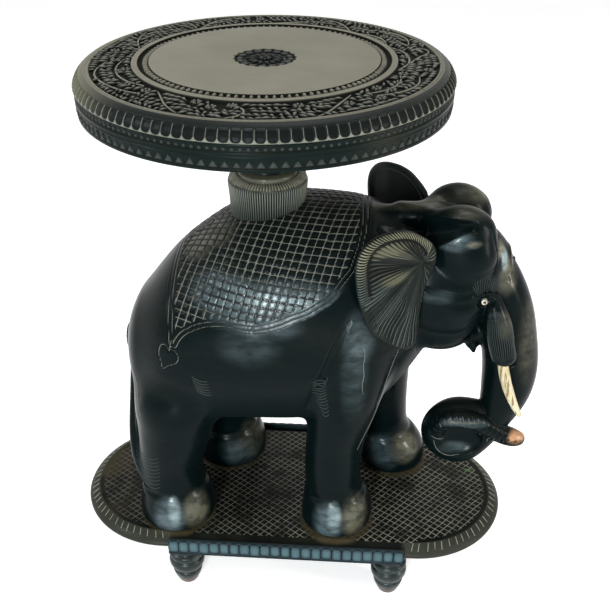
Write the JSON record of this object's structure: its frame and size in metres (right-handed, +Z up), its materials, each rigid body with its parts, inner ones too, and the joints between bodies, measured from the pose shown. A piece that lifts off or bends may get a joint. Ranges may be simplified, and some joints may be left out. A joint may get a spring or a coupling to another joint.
{
  "type": "elephant side table",
  "caption": "Carved ebonised side table: a round carved top that turns and lifts off a pedestal on an elephant's back, on a footed plinth.",
  "frame": {"origin": "on the floor, under the middle of the whole outline (the plinth's middle is 11.75 mm behind it, because the trunk stands past the plinth)", "axes": "+X towards the elephant's head, +Y towards the elephant's left side, +Z up"},
  "size_m": [0.5529, 0.38, 0.635],
  "materials": {
    "ebonised_wood": "satin",
    "plain_wood": "matte",
    "bone": "satin bone",
    "pupil": "polished ebony",
    "screw_steel": "dull"
  },
  "bodies": {
    "base": {"elephant_carving": "ebonised_wood", "right_ear": "ebonised_wood", "left_ear": "ebonised_wood", "right_tusk": "bone", "left_tusk": "bone", "right_eye_ring": "bone", "left_eye_ring": "bone", "right_pupil": "pupil", "left_pupil": "pupil", "pedestal": "ebonised_wood", "plinth_board": "ebonised_wood", "right_edge_strip": "ebonised_wood", "left_edge_strip": "ebonised_wood", "front_right_foot": "ebonised_wood", "front_left_foot": "ebonised_wood", "rear_right_foot": "ebonised_wood", "rear_left_foot": "ebonised_wood", "leg_screws": "screw_steel"},
    "post": {"centre_post": "plain_wood"},
    "top": {"top_board": "ebonised_wood", "apron_ring": "ebonised_wood", "top_boss": "ebonised_wood", "boss_screws": "screw_steel"}
  },
  "joints": [
    {"name": "top_turn", "type": "hinge", "parent": "base", "child": "post", "pos_m": [-0.03575, 0, 0.577], "axis": [0, 0, 1], "continuous": true},
    {"name": "top_lift", "type": "slide", "parent": "post", "child": "top", "axis": [0, 0, 1], "range_m": [0, 0.06]}
  ]
}
